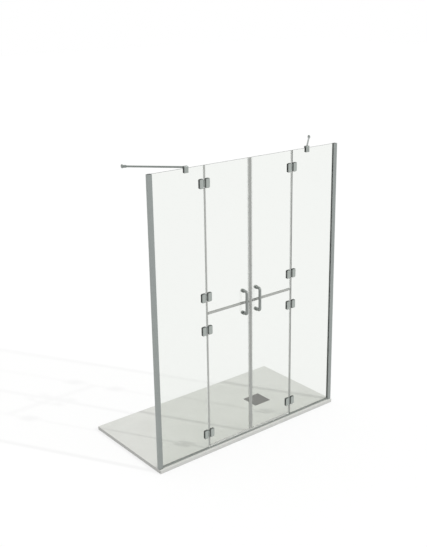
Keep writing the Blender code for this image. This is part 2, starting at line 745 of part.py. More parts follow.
def split_seal_mesh(side):
    """A strip clipped under the upper leaf that closes the gap to the lower leaf."""
    outer = FACE + SEAL_WALL
    glass = SPLIT_Z + SPLIT_EDGE_GAP
    foot = SPLIT_Z - SPLIT_EDGE_GAP + RUN_GAP
    section = [
        (outer, glass + SPLIT_SEAL_LEG),
        (outer, foot + SPLIT_SEAL_TAPER),
        (SPLIT_SEAL_FOOT_HALF, foot),
        (-SPLIT_SEAL_FOOT_HALF, foot),
        (-outer, foot + SPLIT_SEAL_TAPER),
        (-outer, glass + SPLIT_SEAL_LEG),
        (-FACE, glass + SPLIT_SEAL_LEG),
        (-FACE, glass - SEAT_GAP),
        (FACE, glass - SEAT_GAP),
        (FACE, glass + SPLIT_SEAL_LEG),
    ]
    end = LEAF_WIDTH - MAGNET_EDGE_GAP - MAGNET_LEG - RUN_GAP
    return rail_mesh([section], -side * SPLIT_SEAL_START, -side * end)


def bottom_seal_mesh(side):
    """A drip seal clipped on the lower leaf, with a fin that just clears the threshold."""
    outer = FACE + SEAL_WALL
    top = LEAF_BOTTOM + BOTTOM_SEAL_LEG
    web_top = LEAF_BOTTOM - SEAT_GAP
    web_bottom = web_top - SEAL_WALL
    fin_bottom = FRAME_FLOOR + THRESHOLD_HEIGHT + RUN_GAP
    section = [
        (outer, top),
        (outer, web_bottom),
        (BOTTOM_SEAL_FIN_HALF, web_bottom),
        (BOTTOM_SEAL_FIN_HALF, fin_bottom),
        (-BOTTOM_SEAL_FIN_HALF, fin_bottom),
        (-BOTTOM_SEAL_FIN_HALF, web_bottom),
        (-outer, web_bottom),
        (-outer, top),
        (-FACE, top),
        (-FACE, web_top),
        (FACE, web_top),
        (FACE, top),
    ]
    end = LEAF_WIDTH - BOTTOM_SEAL_END_GAP
    return rail_mesh([section], -side * HINGE_EDGE_GAP, -side * end)


def handle_mounting_mesh():
    """A rosette and, behind the glass, a knob on the bolt between them, turned about Z."""
    inner = -GLASS_THICKNESS - SEAT_GAP
    outer = SEAT_GAP
    rim = ROSETTE_RADIUS - ROSETTE_BEVEL
    profile = [
        (0, outer + ROSETTE_THICKNESS),
        (rim, outer + ROSETTE_THICKNESS),
        (ROSETTE_RADIUS, outer + ROSETTE_THICKNESS - ROSETTE_BEVEL),
        (ROSETTE_RADIUS, outer),
        (HANDLE_BOLT_RADIUS, outer),
        (HANDLE_BOLT_RADIUS, inner),
        (ROSETTE_RADIUS, inner),
        (ROSETTE_RADIUS, inner - KNOB_LENGTH + KNOB_BEVEL),
        (ROSETTE_RADIUS - KNOB_BEVEL, inner - KNOB_LENGTH),
        (0, inner - KNOB_LENGTH),
    ]
    return turned_mesh(profile)


def handle_mesh(across, post_height, up):
    """Half a handle: knob, rosette, a post out from the glass and a bar to the split."""
    post_start = -FACE - ROSETTE_THICKNESS + ROSETTE_SINK
    bar_y = -HALF_GLASS - HANDLE_STANDOFF
    points = [(across, post_start, post_height)]
    for step in range(BEND_STEPS + 1):
        angle = math.pi / 2 * step / BEND_STEPS
        y = bar_y + HANDLE_BEND_RADIUS * (1 - math.sin(angle))
        z = post_height - up * HANDLE_BEND_RADIUS * (1 - math.cos(angle))
        points.append((across, y, z))
    points.append((across, bar_y, SPLIT_Z + up * RUN_GAP))
    curve = bpy.data.curves.new("grip", "CURVE")
    curve.dimensions = "3D"
    curve.bevel_depth = HANDLE_BAR_RADIUS
    curve.bevel_resolution = TUBE_BEVEL_RESOLUTION
    curve.use_fill_caps = True
    spline = curve.splines.new("POLY")
    spline.points.add(len(points) - 1)
    for point, place in zip(spline.points, points):
        point.co = (*place, 1)
    grip = closed_mesh(evaluated_mesh(scratch_object("grip", curve)))
    mounting = handle_mounting_mesh()
    place = Matrix.Translation((across, -HALF_GLASS, post_height))
    mounting.transform(place @ Matrix.Rotation(math.pi / 2, 4, "X"))
    return combined_mesh(grip, [(mounting, "UNION")])


def build_leaf(level, side_name, side):
    """One door leaf with everything that swings with it."""
    name = level + "_" + side_name
    axis = bpy.data.objects.new(name + "_axis", None)
    axis.location = (side * LEAF_WIDTH, GLASS_Y, 0)
    PARTS.objects.link(axis)
    hinges = {place: HINGE_HEIGHTS[place] for place in LEVEL_HINGES[level]}
    if level == "upper":
        up = 1
        post_height = SPLIT_Z + HANDLE_POST_ABOVE
        glass_span = (SPLIT_Z + SPLIT_EDGE_GAP, GLASS_TOP)
        seal_span = (SPLIT_Z + RUN_GAP, GLASS_TOP)
        add_part("split_seal_" + side_name, split_seal_mesh(side), SEAL_PLASTIC, parent=axis)
    else:
        up = -1
        post_height = SPLIT_Z - HANDLE_POST_BELOW
        glass_span = (LEAF_BOTTOM, SPLIT_Z - SPLIT_EDGE_GAP)
        seal_span = (LEAF_BOTTOM + BOTTOM_SEAL_LEG + SEAT_GAP, SPLIT_Z - RUN_GAP)
        add_part("bottom_seal_" + side_name, bottom_seal_mesh(side), SEAL_PLASTIC, parent=axis)
    glass = leaf_glass_mesh(side, *glass_span, hinges.values(), post_height)
    add_part("glass_" + name, glass, CLEAR_GLASS, parent=axis)
    build_hinge_seals(name, side, axis, seal_span, sorted(hinges.values()))
    add_part("magnet_seal_" + name, magnet_seal_mesh(side, *seal_span), SEAL_PLASTIC, parent=axis)
    handle = handle_mesh(-side * HANDLE_ACROSS, post_height, up)
    add_part("handle_" + name, handle, HANDLE_STEEL, parent=axis)
    half = hinge_half_mesh(-side, True)
    for place, height in hinges.items():
        add_part("hinge_door_" + side_name + "_" + place, half, SATIN_STEEL, (0, 0, height), axis)


# Stays

def build_stay(side_name, side):
    """A slanted bar between a clamp on the glass top and a flange with a sleeve."""
    along = Vector((side * math.cos(STAY_ANGLE), math.sin(STAY_ANGLE), 0))
    clamp_middle = Vector((side * STAY_CLAMP_X, GLASS_Y, STAY_Z))
    wall_point = Vector((side * HALF_LENGTH, STAY_WALL_Y, STAY_Z))
    bar_start = clamp_middle + along * (STAY_SOCKET_START + SEAT_GAP)
    bar_end = wall_point - along * (STAY_SLEEVE_FLOOR + SEAT_GAP)
    bar = rod_mesh(STAY_BAR_RADIUS, bar_start, bar_end)
    add_part("stay_bar_" + side_name, bar, HANDLE_STEEL)

    half = Vector((CLAMP_WIDTH / 2, CLAMP_DEPTH / 2, 0))
    block = box_mesh(
        (clamp_middle.x - half.x, GLASS_Y - half.y, GLASS_TOP - CLAMP_REACH),
        (clamp_middle.x + half.x, GLASS_Y + half.y, STAY_Z + CLAMP_ROOF),
    )
    clamp = bevelled(add_part("stay_clamp_" + side_name, block, SATIN_STEEL), CLAMP_ROUND)
    slot = box_mesh(
        (clamp_middle.x - CLAMP_WIDTH, GLASS_Y - FACE, GLASS_TOP - CLAMP_REACH - CUT_OVERRUN),
        (clamp_middle.x + CLAMP_WIDTH, GLASS_Y + FACE, GLASS_TOP + SEAT_GAP),
    )
    socket_radius = STAY_BAR_RADIUS + SEAT_GAP
    socket = rod_mesh(
        socket_radius, clamp_middle + along * STAY_SOCKET_START, clamp_middle + along * CLAMP_WIDTH
    )
    boolean(clamp, slot, "DIFFERENCE", "glass_slot_" + side_name)
    boolean(clamp, socket, "DIFFERENCE", "bar_socket_" + side_name)

    inward = Vector((-side * STAY_FLANGE_THICKNESS, 0, 0))
    disc = rod_mesh(STAY_FLANGE_RADIUS, wall_point, wall_point + inward)
    flange = add_part("stay_flange_" + side_name, disc, SATIN_STEEL)
    past_wall = wall_point + along * STAY_SLEEVE_RADIUS * 2
    sleeve = rod_mesh(STAY_SLEEVE_RADIUS, wall_point - along * STAY_SLEEVE_LENGTH, past_wall)
    wall_low = Vector((0, -STAY_SLEEVE_LENGTH, -STAY_SLEEVE_LENGTH))
    wall_high = Vector((side * STAY_SLEEVE_LENGTH, STAY_SLEEVE_LENGTH, STAY_SLEEVE_LENGTH))
    wall = sorted_box(wall_point + wall_low, wall_point + wall_high)
    bore = rod_mesh(
        socket_radius,
        wall_point - along * STAY_SLEEVE_FLOOR,
        wall_point - along * (STAY_SLEEVE_LENGTH + CUT_OVERRUN),
    )
    boolean(flange, sleeve, "UNION", "sleeve_" + side_name)
    boolean(flange, wall, "DIFFERENCE", "wall_" + side_name)
    boolean(flange, bore, "DIFFERENCE", "sleeve_bore_" + side_name)


def sorted_box(first, second):
    """A box between two opposite corners given in either order."""
    low = [min(pair) for pair in zip(first, second)]
    high = [max(pair) for pair in zip(first, second)]
    return box_mesh(low, high)


build_tray()
build_waste()
build_drain_cover()
build_threshold()
for SIDE_NAME, SIDE in SIDES.items():
    build_wall_profile(SIDE_NAME, SIDE)
    build_fixed_glass(SIDE_NAME, SIDE)
    build_bottom_profile(SIDE_NAME, SIDE)
    build_fixed_hinges(SIDE_NAME, SIDE)
    build_stay(SIDE_NAME, SIDE)
    build_leaf("upper", SIDE_NAME, SIDE)
    build_leaf("lower", SIDE_NAME, SIDE)
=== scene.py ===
"""Looks for the shower enclosure: materials, small fittings, light and camera."""

import math

import bmesh
import bpy
from mathutils import Matrix, Vector


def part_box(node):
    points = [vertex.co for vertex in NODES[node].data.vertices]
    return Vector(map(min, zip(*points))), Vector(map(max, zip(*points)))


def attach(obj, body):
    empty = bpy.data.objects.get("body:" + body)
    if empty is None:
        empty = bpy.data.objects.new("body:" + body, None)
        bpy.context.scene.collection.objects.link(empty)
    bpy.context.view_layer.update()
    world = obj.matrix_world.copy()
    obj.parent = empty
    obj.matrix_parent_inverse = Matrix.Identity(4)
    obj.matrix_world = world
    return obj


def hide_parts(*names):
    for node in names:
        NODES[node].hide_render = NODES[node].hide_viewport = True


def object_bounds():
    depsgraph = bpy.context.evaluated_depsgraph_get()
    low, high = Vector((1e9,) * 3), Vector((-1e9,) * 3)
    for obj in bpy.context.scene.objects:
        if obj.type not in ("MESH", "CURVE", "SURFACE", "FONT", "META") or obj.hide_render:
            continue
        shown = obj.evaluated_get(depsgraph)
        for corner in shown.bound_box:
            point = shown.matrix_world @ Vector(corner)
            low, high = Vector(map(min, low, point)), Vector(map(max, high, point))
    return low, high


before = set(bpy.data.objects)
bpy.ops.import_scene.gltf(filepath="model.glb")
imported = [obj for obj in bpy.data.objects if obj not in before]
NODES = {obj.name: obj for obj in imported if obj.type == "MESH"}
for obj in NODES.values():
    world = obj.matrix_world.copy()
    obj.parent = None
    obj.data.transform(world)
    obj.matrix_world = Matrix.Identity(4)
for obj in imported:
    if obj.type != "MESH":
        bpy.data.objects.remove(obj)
CAD_LOW, CAD_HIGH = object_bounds()

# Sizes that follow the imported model
GLASS_LOW, GLASS_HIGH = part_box("fixed_glass_left")
GLASS_Y = (GLASS_LOW.y + GLASS_HIGH.y) / 2
GLASS_FRONT = GLASS_LOW.y
GLASS_BACK = GLASS_HIGH.y

# Hinge screws, on the plates behind the glass
SCREW_RADIUS = 0.0042
SCREW_HEIGHT = 0.0009
SCREW_BEVEL = 0.0004
SCREW_SOCKET_RADIUS = 0.0019
SCREW_SOCKET_DEPTH = 0.0007
SCREW_SIDES = 24
SCREW_FROM_EDGE = 0.0175  # from a plate's far edge to its screws
SCREW_SPREAD = 0.032  # between the two screws of a plate
SCREW_SINK = 0.0001
CLAMP_SCREW_HEIGHT = 0.012  # above a clamp's lower edge

# Glazing beads between the wall profiles and the glass
BEAD_SIZE = 0.0018
BEAD_STEPS = 5
BEAD_CLEARANCE = 0.00005

# Edges of the scene's pieces that turn more than this stay sharp
SMOOTH_LIMIT = math.radians(35)

# Handles and stays: their solids' sizes, with rounded ends that the solids lack
ROUND_SIDES = 48
EDGE_STEPS = 4
BEND_STEPS = 14
HANDLE_BAR_RADIUS = 0.010
HANDLE_BEND_RADIUS = 0.0125
HANDLE_END_BEVEL = 0.0006
HANDLE_BOLT_RADIUS = 0.004
ROSETTE_RADIUS = 0.013
ROSETTE_THICKNESS = 0.003
ROSETTE_BEVEL = 0.0008
ROSETTE_SINK = 0.001
KNOB_LENGTH = 0.0155
KNOB_BEVEL = 0.0015
STAY_ANGLE = math.radians(44)
STAY_BAR_RADIUS = 0.006
STAY_FLANGE_RADIUS = 0.0125
STAY_FLANGE_THICKNESS = 0.004
STAY_SLEEVE_RADIUS = 0.0088
STAY_SLEEVE_LENGTH = 0.028
FLANGE_BEVEL = 0.0008
ROD_END_BEVEL = 0.0006

# Where the leaves' hinge axes and the knuckles round them lie
HINGE_AXIS = 0.375
KNUCKLE_REACH = 0.0075

# Seals: where each kind's thick body ends, on its side of the leaf
HINGE_SEAL_REACH = 0.0061  # from the hinge axis toward the doorway's middle
MAGNET_SEAL_REACH = 0.0118  # from the doorway's middle
SEAL_TINT = (0.975, 1, 0.955)
SEAL_BODY_ALPHA = 0.95
SEAL_NOISE_SCALE = 60
SEAL_DARK_SHARE = 0.96
SEAL_LIGHT_SHARE = 1.03
SEAL_ROUGHNESS = (0.5, 0.65)
SEAL_LEG_ALPHA = 0.08
BOTTOM_SEAL_ALPHA = 0.16

# Glass
GLASS_EDGE_COLOUR = (0.07, 0.13, 0.10, 1)
GLASS_FACE_COLOUR = (0.888, 0.905, 0.880, 1)
GLASS_SHADOW_COLOUR = (0.91, 0.92, 0.90, 1)
GLASS_IOR = 1.45
GLASS_SMUDGE_SCALE = 6
GLASS_SMUDGE_ROUGHNESS = 0.02
GLASS_EDGE_ROUGHNESS = 0.35

# Metal
METAL_GRAIN_SCALE = 90
METAL_CLOUD_SCALE = 30
METAL_GRAIN_SHARE = 0.7
METAL_BUMP_DEPTH = 0.0001
METAL_BUMP_STRENGTH = 0.25
METAL_DARK_SHARE = 0.92
METAL_LIGHT_SHARE = 1.06
METAL_ROUGHNESS_BELOW = 0.05
METAL_ROUGHNESS_ABOVE = 0.07
FACES_AWAY_LIMIT = 0.85

# Painted shade: rims and knuckles darker than the faces
RIM_PAINTED_SHADE_LEVEL = 0.125
KNUCKLE_PAINTED_SHADE_LEVEL = 0.22

# Tray
TRAY_TOP_COLOURS = ((0.715, 0.72, 0.69, 1), (0.785, 0.79, 0.76, 1))
# Painted shade: the tray's sides darker than its top
TRAY_SHADED_SIDE_COLOURS = ((0.63, 0.635, 0.61, 1), (0.69, 0.695, 0.67, 1))
TRAY_ROUGHNESS = (0.65, 0.8)
TRAY_CLOUD_SCALE = 5
TRAY_GRAIN_SCALE = 700
TRAY_CLOUD_SHARE = 0.6
TRAY_BUMP_DEPTH = 0.0003
TRAY_BUMP_STRENGTH = 0.35
FACES_UP_LIMIT = 0.5

# Noise, and where every ramp leaves its first colour and reaches its second
NOISE_ROUGHNESS = 0.55
RAMP_START_SHARE = 0.3
RAMP_END_SHARE = 0.7

# Gloss of the seals and of the tray's cast stone
PLASTIC_GLOSS_LEVEL = 0.25

# Which way along X each side lies
SIDES = {"left": -1, "right": 1}

# Camera, as solved from the photograph's perspective
CAMERA_PLACE = (-3.6285, -4.7037, 3.1541)
CAMERA_YAW = math.radians(40.60)
CAMERA_PITCH = math.radians(17.76)
CAMERA_ROLL = math.radians(-0.04)
CAMERA_LENS = 57.74
CAMERA_SHIFT = (-0.0831, -0.0307)
CAMERA_SENSOR_WIDTH = 36
CAMERA_FAR = 200

# Light
SUN_AZIMUTH = math.radians(-60)
SUN_ELEVATION = math.radians(32)
SUN_ENERGY = 1.05
SUN_SOFTNESS = math.radians(1.3)
SKY_LEVEL = 0.83
FLOOR_LEVEL = 0.45
FLOOR_GLOW_SHARE = 0.2
FLOOR_GLOW = 3.25
FLOOR_SIZE = 30
FLOOR_DROP = 0.0005  # below the tray's underside, so that the two never lie in one plane
FLOOR_ROUGHNESS = 0.9
WHITE = (1, 1, 1, 1)


# Node helpers

def new_material(name):
    """A material with a Principled shader, its node tree and that shader."""
    material = bpy.data.materials.new(name)
    material.use_nodes = True
    tree = material.node_tree
    return material, tree, tree.nodes["Principled BSDF"]


def object_position(tree, scale):
    """The point on the piece in its own space, stretched along each axis."""
    place = tree.nodes.new("ShaderNodeTexCoord")
    mapping = tree.nodes.new("ShaderNodeMapping")
    mapping.inputs["Scale"].default_value = scale
    tree.links.new(place.outputs["Object"], mapping.inputs["Vector"])
    return mapping.outputs["Vector"]


def noise(tree, vector, scale, detail=4):
    """A noise texture's value."""
    texture = tree.nodes.new("ShaderNodeTexNoise")
    texture.inputs["Scale"].default_value = scale
    texture.inputs["Detail"].default_value = detail
    texture.inputs["Roughness"].default_value = NOISE_ROUGHNESS
    tree.links.new(vector, texture.inputs["Vector"])
    return texture.outputs["Fac"]


def ramp(tree, value, low_colour, high_colour):
    """A colour that goes from one to another as a value rises."""
    node = tree.nodes.new("ShaderNodeValToRGB")
    node.color_ramp.elements[0].position = RAMP_START_SHARE
    node.color_ramp.elements[1].position = RAMP_END_SHARE
    node.color_ramp.elements[0].color = low_colour
    node.color_ramp.elements[1].color = high_colour
    tree.links.new(value, node.inputs["Fac"])
    return node.outputs["Color"]


def spread(tree, value, low, high):
    """A value of about 0 to 1 mapped to low to high."""
    node = tree.nodes.new("ShaderNodeMapRange")
    node.inputs["To Min"].default_value = low
    node.inputs["To Max"].default_value = high
    tree.links.new(value, node.inputs["Value"])
    return node.outputs["Result"]


def math_node(tree, operation, first, second=None):
    """One step of arithmetic on sockets or numbers."""
    node = tree.nodes.new("ShaderNodeMath")
    node.operation = operation
    for socket, value in zip(node.inputs, (first, second)):
        if value is None:
            continue
        if isinstance(value, (int, float)):
            socket.default_value = value
        else:
            tree.links.new(value, socket)
    return node.outputs["Value"]


def weighted(tree, first, second, first_share):
    """The sum of two values, by the first one's share."""
    one = math_node(tree, "MULTIPLY", first, first_share)
    other = math_node(tree, "MULTIPLY", second, 1 - first_share)
    return math_node(tree, "ADD", one, other)


def bump(tree, shader, height, distance, strength):
    """A bump on a shader."""
    node = tree.nodes.new("ShaderNodeBump")
    node.inputs["Distance"].default_value = distance
    node.inputs["Strength"].default_value = strength
    tree.links.new(height, node.inputs["Height"])
    tree.links.new(node.outputs["Normal"], shader.inputs["Normal"])


def grey(level, tint=(1, 1, 1)):
    """A colour at a level with a slight tint."""
    return (level * tint[0], level * tint[1], level * tint[2], 1)


# Materials

def see_through_in_shadow(tree, shader, tint):
    """Let light pass the piece as through a real pane, and count it only once."""
    rays = tree.nodes.new("ShaderNodeLightPath")
    passing = math_node(tree, "MAXIMUM", rays.outputs["Is Shadow Ray"], rays.outputs["Is Diffuse Ray"])
    clear = tree.nodes.new("ShaderNodeBsdfTransparent")
    clear.inputs["Color"].default_value = tint
    mix = tree.nodes.new("ShaderNodeMixShader")
    tree.links.new(passing, mix.inputs["Fac"])
    tree.links.new(shader.outputs["BSDF"], mix.inputs[1])
    tree.links.new(clear.outputs["BSDF"], mix.inputs[2])
    output = tree.nodes["Material Output"]
    tree.links.new(mix.outputs["Shader"], output.inputs["Surface"])


def make_glass():
    """Clear toughened glass with a green tinge at its ground edges."""
    material, tree, shader = new_material("clear_glass")
    place = tree.nodes.new("ShaderNodeTexCoord")
    split = tree.nodes.new("ShaderNodeSeparateXYZ")
    tree.links.new(place.outputs["Normal"], split.inputs["Vector"])
    facing = math_node(tree, "ABSOLUTE", split.outputs["Y"])
    colour = ramp(tree, facing, GLASS_EDGE_COLOUR, GLASS_FACE_COLOUR)
    tree.links.new(colour, shader.inputs["Base Color"])
    smudge = noise(tree, object_position(tree, (1, 1, 1)), GLASS_SMUDGE_SCALE)
    face_roughness = spread(tree, smudge, 0, GLASS_SMUDGE_ROUGHNESS)
    at_edge = math_node(tree, "SUBTRACT", 1, facing)
    edge_roughness = math_node(tree, "MULTIPLY", at_edge, GLASS_EDGE_ROUGHNESS)
    tree.links.new(math_node(tree, "ADD", face_roughness, edge_roughness), shader.inputs["Roughness"])
    shader.inputs["IOR"].default_value = GLASS_IOR
    shader.inputs["Transmission Weight"].default_value = 1
    see_through_in_shadow(tree, shader, GLASS_SHADOW_COLOUR)
    return material


def outward(tree):
    """1 on faces that look away from the glass, 0 on their rims and toward the glass."""
    place = tree.nodes.new("ShaderNodeTexCoord")
    point = tree.nodes.new("ShaderNodeSeparateXYZ")
    normal = tree.nodes.new("ShaderNodeSeparateXYZ")
    tree.links.new(place.outputs["Object"], point.inputs["Vector"])
    tree.links.new(place.outputs["Normal"], normal.inputs["Vector"])
    side = math_node(tree, "SIGN", math_node(tree, "SUBTRACT", point.outputs["Y"], GLASS_Y))
    away = math_node(tree, "MULTIPLY", normal.outputs["Y"], side)
    return math_node(tree, "GREATER_THAN", away, FACES_AWAY_LIMIT)


def near_hinge_axis(tree):
    """1 near a leaf's hinge axis, where its knuckles are, and 0 on the plates beyond."""
    place = tree.nodes.new("ShaderNodeTexCoord")
    point = tree.nodes.new("ShaderNodeSeparateXYZ")
    tree.links.new(place.outputs["Object"], point.inputs["Vector"])
    across = math_node(tree, "ABSOLUTE", point.outputs["X"])
    away = math_node(tree, "ABSOLUTE", math_node(tree, "SUBTRACT", across, HINGE_AXIS))
    return math_node(tree, "LESS_THAN", away, KNUCKLE_REACH)


def mixed(tree, share, first, second):
    """A colour between two, by a share."""
    node = tree.nodes.new("ShaderNodeMix")
    node.data_type = "RGBA"
    tree.links.new(share, node.inputs["Factor"])
    for socket, value in ((node.inputs["A"], first), (node.inputs["B"], second)):
        if isinstance(value, tuple):
            socket.default_value = value
        else:
            tree.links.new(value, socket)
    return node.outputs["Result"]


def make_satin(name, level, tint, roughness, grain, metallic=1, rim_shade=None, knuckle_shade=None):
    """Satin metal with a fine grain, and painted shade on its rims and knuckles if asked."""
    material, tree, shader = new_material(name)
    lines = noise(tree, object_position(tree, grain), METAL_GRAIN_SCALE, detail=3)
    clouds = noise(tree, object_position(tree, (1, 1, 1)), METAL_CLOUD_SCALE, detail=2)
    both = weighted(tree, lines, clouds, METAL_GRAIN_SHARE)
    dark = grey(level * METAL_DARK_SHARE, tint)
    colour = ramp(tree, both, dark, grey(level * METAL_LIGHT_SHARE, tint))
    # Painted shade: faces that don't look away from the glass take the darker rim or knuckle level
    if rim_shade is not None:
        shaded = mixed(tree, near_hinge_axis(tree), grey(rim_shade, tint), grey(knuckle_shade, tint))
        colour = mixed(tree, outward(tree), shaded, colour)
    tree.links.new(colour, shader.inputs["Base Color"])
    smoothest = roughness - METAL_ROUGHNESS_BELOW
    roughest = roughness + METAL_ROUGHNESS_ABOVE
    tree.links.new(spread(tree, both, smoothest, roughest), shader.inputs["Roughness"])
    shader.inputs["Metallic"].default_value = metallic
    bump(tree, shader, lines, METAL_BUMP_DEPTH, METAL_BUMP_STRENGTH)
    return material


def make_tray():
    """Matt mineral cast with a very fine pore and slight clouding, and painted shade that makes its
    sides a little darker than its top.
    """
    material, tree, shader = new_material("tray_stone")
    position = object_position(tree, (1, 1, 1))
    clouds = noise(tree, position, TRAY_CLOUD_SCALE, detail=6)
    grain = noise(tree, position, TRAY_GRAIN_SCALE, detail=3)
    both = weighted(tree, clouds, grain, TRAY_CLOUD_SHARE)
    top = ramp(tree, both, *TRAY_TOP_COLOURS)
    sides = ramp(tree, both, *TRAY_SHADED_SIDE_COLOURS)
    # Painted shade: faces that don't look up take the darker side colours
    place = tree.nodes.new("ShaderNodeTexCoord")
    normal = tree.nodes.new("ShaderNodeSeparateXYZ")
    tree.links.new(place.outputs["Normal"], normal.inputs["Vector"])
    facing_up = math_node(tree, "GREATER_THAN", normal.outputs["Z"], FACES_UP_LIMIT)
    tree.links.new(mixed(tree, facing_up, sides, top), shader.inputs["Base Color"])
    tree.links.new(spread(tree, grain, *TRAY_ROUGHNESS), shader.inputs["Roughness"])
    shader.inputs["Specular IOR Level"].default_value = PLASTIC_GLOSS_LEVEL
    bump(tree, shader, grain, TRAY_BUMP_DEPTH, TRAY_BUMP_STRENGTH)
    return material


def make_seal(name, level, alpha=SEAL_BODY_ALPHA, limits=None):
    """Translucent seal plastic.

    Where limits are given, the seal is thick only where its distance from the
    doorway's middle lies between them, and its legs on the glass are nearly clear.
    """
    material, tree, shader = new_material(name)
    fine = noise(tree, object_position(tree, (1, 1, 1)), SEAL_NOISE_SCALE, detail=3)
    dark = grey(level * SEAL_DARK_SHARE, SEAL_TINT)
    light = grey(level * SEAL_LIGHT_SHARE, SEAL_TINT)
    tree.links.new(ramp(tree, fine, dark, light), shader.inputs["Base Color"])
    tree.links.new(spread(tree, fine, *SEAL_ROUGHNESS), shader.inputs["Roughness"])
    shader.inputs["Specular IOR Level"].default_value = PLASTIC_GLOSS_LEVEL
    shader.inputs["Alpha"].default_value = alpha
    if limits is not None:
        place = tree.nodes.new("ShaderNodeTexCoord")
        point = tree.nodes.new("ShaderNodeSeparateXYZ")
        tree.links.new(place.outputs["Object"], point.inputs["Vector"])
        across = math_node(tree, "ABSOLUTE", point.outputs["X"])
        past_start = math_node(tree, "GREATER_THAN", across, limits[0])
        before_end = math_node(tree, "LESS_THAN", across, limits[1])
        body = math_node(tree, "MULTIPLY", past_start, before_end)
        tree.links.new(spread(tree, body, SEAL_LEG_ALPHA, alpha), shader.inputs["Alpha"])
    return material


GLASS = make_glass()
# Hinges: painted shade on the rims and knuckles
HINGE_METAL = make_satin(
    "satin_steel", 0.43, (0.93, 1, 0.95), 0.36, (1, 1, 30), rim_shade=RIM_PAINTED_SHADE_LEVEL, knuckle_shade=KNUCKLE_PAINTED_SHADE_LEVEL
)
HANDLE_METAL = make_satin("handle_steel", 0.31, (0.94, 1, 0.96), 0.32, (1, 1, 30), metallic=0.55)
# Clamps: painted shade on the rims
CLAMP_METAL = make_satin(
    "clamp_steel", 0.38, (0.93, 1, 0.95), 0.36, (30, 1, 1), rim_shade=RIM_PAINTED_SHADE_LEVEL, knuckle_shade=RIM_PAINTED_SHADE_LEVEL
)
STAY_METAL = make_satin("stay_steel", 0.27, (0.90, 1, 0.94), 0.3, (30, 30, 1), metallic=0.6)
PROFILE_METAL = make_satin("aluminium", 0.34, (0.93, 1, 0.97), 0.38, (30, 30, 0.5))
RAIL_METAL = make_satin("aluminium_rail", 0.32, (0.93, 1, 0.95), 0.5, (0.5, 30, 30), metallic=0.5)
TRAY = make_tray()
COVER = make_satin("cover_metal", 0.17, (1.02, 1, 0.95), 0.5, (1, 40, 1), metallic=0.6)
SCREW_METAL = make_satin("screw_steel", 0.40, (0.98, 1, 0.99), 0.3, (1, 1, 1))
HINGE_SEAL_BODY = (HINGE_AXIS - HINGE_SEAL_REACH, CAD_HIGH.x)
SEAL_HINGE = make_seal("seal_plastic_hinge", 0.50, limits=HINGE_SEAL_BODY)
SEAL_MAGNET = make_seal("seal_plastic_magnet", 0.46, limits=(0, MAGNET_SEAL_REACH))
SEAL_SPLIT = make_seal("seal_plastic_split", 0.50)
SEAL_BOTTOM = make_seal("seal_plastic_bottom", 0.50, alpha=BOTTOM_SEAL_ALPHA)
BEAD_RUBBER = make_seal("seal_plastic_bead", 0.12)


def material_of(name):
    """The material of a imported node, by its name."""
    if "glass" in name:
        return GLASS
    if name.startswith("handle"):
        return HANDLE_METAL
    if name.startswith(("stay_bar", "stay_flange")):
        return STAY_METAL
    if name.startswith("stay_clamp"):
        return CLAMP_METAL
    if name.startswith("hinge_seal"):
        return SEAL_HINGE
    if name.startswith("magnet_seal"):
        return SEAL_MAGNET
    if name.startswith("split_seal"):
        return SEAL_SPLIT
    if name.startswith("bottom_seal"):
        return SEAL_BOTTOM
    if name.startswith("wall_profile"):
        return PROFILE_METAL
    if name.startswith(("bottom_profile", "threshold")):
        return RAIL_METAL
    if name == "tray":
        return TRAY
    if name == "drain_cover":
        return COVER
    return HINGE_METAL


for node_name, node in NODES.items():
    node.data.materials.clear()
    node.data.materials.append(material_of(node_name))
    for polygon in node.data.polygons:
        polygon.material_index = 0


# Small fittings

FACING_BACK = Matrix.Rotation(-math.pi / 2, 4, "X")


def ring(shape, radius, height):
    """Points round a screw's circle at a height."""
    points = []
    for step in range(SCREW_SIDES):
        angle = math.tau * step / SCREW_SIDES
        points.append(shape.verts.new((radius * math.cos(angle), radius * math.sin(angle), height)))
    return points


def skin(shape, first, second):
    """Faces between two rings of the same number of points."""
    for index in range(len(first)):
        after = (index + 1) % len(first)
        shape.faces.new((first[index], first[after], second[after], second[index]))


def hexagon_radius(angle, corner_radius):
    """How far a hexagon reaches from its middle in one direction."""
    within = (angle % (math.pi / 3)) - math.pi / 6
    return corner_radius * math.cos(math.pi / 6) / math.cos(within)


def add_screw(shape, place):
    """A low screw head with a hexagon socket, that faces +Z."""
    rings = [
        ring(shape, SCREW_RADIUS, -SCREW_SINK),
        ring(shape, SCREW_RADIUS, SCREW_HEIGHT - SCREW_BEVEL),
        ring(shape, SCREW_RADIUS - SCREW_BEVEL, SCREW_HEIGHT),
        ring(shape, SCREW_SOCKET_RADIUS, SCREW_HEIGHT),
        ring(shape, SCREW_SOCKET_RADIUS, SCREW_HEIGHT - SCREW_SOCKET_DEPTH),
    ]
    for socket in rings[3:]:
        for step, vertex in enumerate(socket):
            angle = math.tau * step / SCREW_SIDES
            radius = hexagon_radius(angle, SCREW_SOCKET_RADIUS)
            vertex.co.x = radius * math.cos(angle)
            vertex.co.y = radius * math.sin(angle)
    for first, second in zip(rings, rings[1:]):
        skin(shape, first, second)
    shape.faces.new(reversed(rings[0]))
    shape.faces.new(rings[-1])
    for points in rings:
        for vertex in points:
            vertex.co = place @ vertex.co


def fitting(name, shape, material, body):
    """A piece of the scene that rides on a body and takes the given material."""
    bmesh.ops.recalc_face_normals(shape, faces=shape.faces)
    mesh = bpy.data.meshes.new(name)
    shape.to_mesh(mesh)
    shape.free()
    mesh.materials.append(material)
    mesh.shade_smooth()
    mesh.set_sharp_from_angle(angle=SMOOTH_LIMIT)
    piece = bpy.data.objects.new(name, mesh)
    bpy.context.scene.collection.objects.link(piece)
    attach(piece, body)
    return piece


